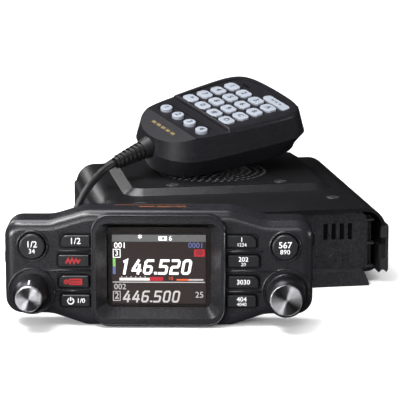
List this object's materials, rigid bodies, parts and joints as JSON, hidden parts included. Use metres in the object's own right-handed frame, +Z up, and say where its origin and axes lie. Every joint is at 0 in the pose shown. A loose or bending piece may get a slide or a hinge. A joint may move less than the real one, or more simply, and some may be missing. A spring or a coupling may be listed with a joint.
{
  "type": "mobile transceiver",
  "caption": "Mobile two-way radio: main unit with speaker grille and rear fan, separate control head with display, keys and knobs, and a keypad hand microphone on a curly cord.",
  "frame": {"origin": "centre of the main unit's footprint, on the surface it stands on", "axes": "+X to the right seen from the front, +Y from the front panel to the rear, +Z up"},
  "size_m": [0.1883, 0.2344, 0.0831],
  "materials": {
    "cast_metal": "cast, satin black",
    "cover_paint": "fine textured black paint",
    "panel_plastic": "grained",
    "bracket_plastic": "satin",
    "screw_steel": "blackened",
    "board_green": "solder mask",
    "speaker_black": "paper cone",
    "module_metal": "plain",
    "fan_plastic": "satin",
    "plated_metal": "nickel plated",
    "rubber_black": "matt",
    "jack_plastic": "moulded",
    "plug_plastic": "moulded",
    "head_plastic": "fine matt grain",
    "bezel_plastic": "satin",
    "window_clear": "gloss",
    "lcd": "lit display",
    "knob_metal": "spun and anodised",
    "mic_plastic": "fine matt grain",
    "key_light": "smooth",
    "key_dark": "smooth"
  },
  "bodies": {
    "main_unit": {"main_chassis": "cast_metal", "top_cover": "cover_paint", "front_panel": "panel_plastic", "side_bracket_left": "bracket_plastic", "side_bracket_right": "bracket_plastic", "case_screws": "screw_steel", "main_board": "board_green", "loudspeaker": "speaker_black", "power_module": "module_metal", "fan_frame": "fan_plastic", "antenna_connector": "plated_metal", "dc_gland": "rubber_black", "rear_jacks": "jack_plastic", "front_jacks": "jack_plastic", "mic_plug": "plug_plastic", "cord_lead": "rubber_black", "cord_coil": "rubber_black", "cord_tail": "rubber_black"},
    "fan_rotor": {"fan_rotor": "fan_plastic"},
    "control_head": {"head_front_shell": "head_plastic", "head_rear_shell": "head_plastic", "head_screws": "screw_steel", "display_bezel": "bezel_plastic", "display_window": "window_clear", "lcd_panel": "lcd", "head_board": "board_green", "encoders": "plated_metal", "head_jack": "jack_plastic"},
    "microphone": {"mic_front_shell": "mic_plastic", "mic_back_shell": "mic_plastic", "hanger_stud": "screw_steel", "cord_boot": "rubber_black", "mic_board": "board_green"},
    "volume_knob": {"volume_knob": "knob_metal", "volume_shaft": "plated_metal"},
    "dial_shaft": {"dial_shaft": "plated_metal"},
    "dial_knob": {"dial_knob": "knob_metal"},
    "round_button_left": {"round_button_left": "key_dark"},
    "left_key_1": {"left_key_1": "key_dark"},
    "left_key_2": {"left_key_2": "key_dark"},
    "left_key_3": {"left_key_3": "key_dark"},
    "left_key_4": {"left_key_4": "key_dark"},
    "round_button_right": {"round_button_right": "key_dark"},
    "right_key_1": {"right_key_1": "key_dark"},
    "right_key_2": {"right_key_2": "key_dark"},
    "right_key_3": {"right_key_3": "key_dark"},
    "right_key_4": {"right_key_4": "key_dark"},
    "ptt_button": {"ptt_button": "mic_plastic"},
    "up_key": {"up_key": "mic_plastic"},
    "down_key": {"down_key": "mic_plastic"},
    "mute_key": {"mute_key": "key_light"},
    "program_key_1": {"program_key_1": "key_light"},
    "program_key_2": {"program_key_2": "key_light"},
    "program_key_3": {"program_key_3": "key_light"},
    "program_key_4": {"program_key_4": "key_light"},
    "keypad_row_1": {"keypad_row_1": "key_light"},
    "keypad_row_2": {"keypad_row_2": "key_light"},
    "keypad_row_3": {"keypad_row_3": "key_light"},
    "keypad_row_4": {"keypad_row_4": "key_light"}
  },
  "joints": [
    {"name": "fan_spin", "type": "hinge", "parent": "main_unit", "child": "fan_rotor", "pos_m": [-0.008, 0.058, 0.021], "axis": [0, 1, 0], "continuous": true},
    {"name": "head_lift", "type": "slide", "parent": "main_unit", "child": "control_head", "axis": [0, 0, 1], "range_m": [0, 0.03]},
    {"name": "mic_lift", "type": "slide", "parent": "main_unit", "child": "microphone", "axis": [0, 0, 1], "range_m": [0, 0.02]},
    {"name": "volume_turn", "type": "hinge", "parent": "control_head", "child": "volume_knob", "pos_m": [-0.10758, -0.11573, 0.0165], "axis": [0.1788, 0.9839, 0], "continuous": true},
    {"name": "dial_push", "type": "slide", "parent": "control_head", "child": "dial_shaft", "axis": [0.1788, 0.9839, 0], "range_m": [0, 0.0004], "stiffness_N_per_m": 900},
    {"name": "dial_turn", "type": "hinge", "parent": "dial_shaft", "child": "dial_knob", "pos_m": [0.00438, -0.13607, 0.0165], "axis": [0.1788, 0.9839, 0], "continuous": true},
    {"name": "round_button_left_press", "type": "slide", "parent": "control_head", "child": "round_button_left", "axis": [0.1788, 0.9839, 0], "range_m": [0, 0.0006], "stiffness_N_per_m": 500},
    {"name": "left_key_1_press", "type": "slide", "parent": "control_head", "child": "left_key_1", "axis": [0.1788, 0.9839, 0], "range_m": [0, 0.0006], "stiffness_N_per_m": 500},
    {"name": "left_key_2_press", "type": "slide", "parent": "control_head", "child": "left_key_2", "axis": [0.1788, 0.9839, 0], "range_m": [0, 0.0006], "stiffness_N_per_m": 500},
    {"name": "left_key_3_press", "type": "slide", "parent": "control_head", "child": "left_key_3", "axis": [0.1788, 0.9839, 0], "range_m": [0, 0.0006], "stiffness_N_per_m": 500},
    {"name": "left_key_4_press", "type": "slide", "parent": "control_head", "child": "left_key_4", "axis": [0.1788, 0.9839, 0], "range_m": [0, 0.0006], "stiffness_N_per_m": 500},
    {"name": "round_button_right_press", "type": "slide", "parent": "control_head", "child": "round_button_right", "axis": [0.1788, 0.9839, 0], "range_m": [0, 0.0006], "stiffness_N_per_m": 500},
    {"name": "right_key_1_press", "type": "slide", "parent": "control_head", "child": "right_key_1", "axis": [0.1788, 0.9839, 0], "range_m": [0, 0.0006], "stiffness_N_per_m": 500},
    {"name": "right_key_2_press", "type": "slide", "parent": "control_head", "child": "right_key_2", "axis": [0.1788, 0.9839, 0], "range_m": [0, 0.0006], "stiffness_N_per_m": 500},
    {"name": "right_key_3_press", "type": "slide", "parent": "control_head", "child": "right_key_3", "axis": [0.1788, 0.9839, 0], "range_m": [0, 0.0006], "stiffness_N_per_m": 500},
    {"name": "right_key_4_press", "type": "slide", "parent": "control_head", "child": "right_key_4", "axis": [0.1788, 0.9839, 0], "range_m": [0, 0.0006], "stiffness_N_per_m": 500},
    {"name": "ptt_button_press", "type": "slide", "parent": "microphone", "child": "ptt_button", "axis": [0.4437, -0.8663, -0.2294], "range_m": [0, 0.0015], "stiffness_N_per_m": 800},
    {"name": "up_key_press", "type": "slide", "parent": "microphone", "child": "up_key", "axis": [-0.8958, -0.4215, -0.1409], "range_m": [0, 0.0008], "stiffness_N_per_m": 500},
    {"name": "down_key_press", "type": "slide", "parent": "microphone", "child": "down_key", "axis": [-0.8958, -0.4215, -0.1409], "range_m": [0, 0.0008], "stiffness_N_per_m": 500},
    {"name": "mute_key_press", "type": "slide", "parent": "microphone", "child": "mute_key", "axis": [0.0253, 0.2681, -0.9631], "range_m": [0, 0.0008], "stiffness_N_per_m": 500},
    {"name": "program_key_1_press", "type": "slide", "parent": "microphone", "child": "program_key_1", "axis": [0.0253, 0.2681, -0.9631], "range_m": [0, 0.0008], "stiffness_N_per_m": 500},
    {"name": "program_key_2_press", "type": "slide", "parent": "microphone", "child": "program_key_2", "axis": [0.0253, 0.2681, -0.9631], "range_m": [0, 0.0008], "stiffness_N_per_m": 500},
    {"name": "program_key_3_press", "type": "slide", "parent": "microphone", "child": "program_key_3", "axis": [0.0253, 0.2681, -0.9631], "range_m": [0, 0.0008], "stiffness_N_per_m": 500},
    {"name": "program_key_4_press", "type": "slide", "parent": "microphone", "child": "program_key_4", "axis": [0.0253, 0.2681, -0.9631], "range_m": [0, 0.0008], "stiffness_N_per_m": 500},
    {"name": "keypad_row_1_press", "type": "slide", "parent": "microphone", "child": "keypad_row_1", "axis": [0.0253, 0.2681, -0.9631], "range_m": [0, 0.0008], "stiffness_N_per_m": 500},
    {"name": "keypad_row_2_press", "type": "slide", "parent": "microphone", "child": "keypad_row_2", "axis": [0.0253, 0.2681, -0.9631], "range_m": [0, 0.0008], "stiffness_N_per_m": 500},
    {"name": "keypad_row_3_press", "type": "slide", "parent": "microphone", "child": "keypad_row_3", "axis": [0.0253, 0.2681, -0.9631], "range_m": [0, 0.0008], "stiffness_N_per_m": 500},
    {"name": "keypad_row_4_press", "type": "slide", "parent": "microphone", "child": "keypad_row_4", "axis": [0.0253, 0.2681, -0.9631], "range_m": [0, 0.0008], "stiffness_N_per_m": 500}
  ]
}
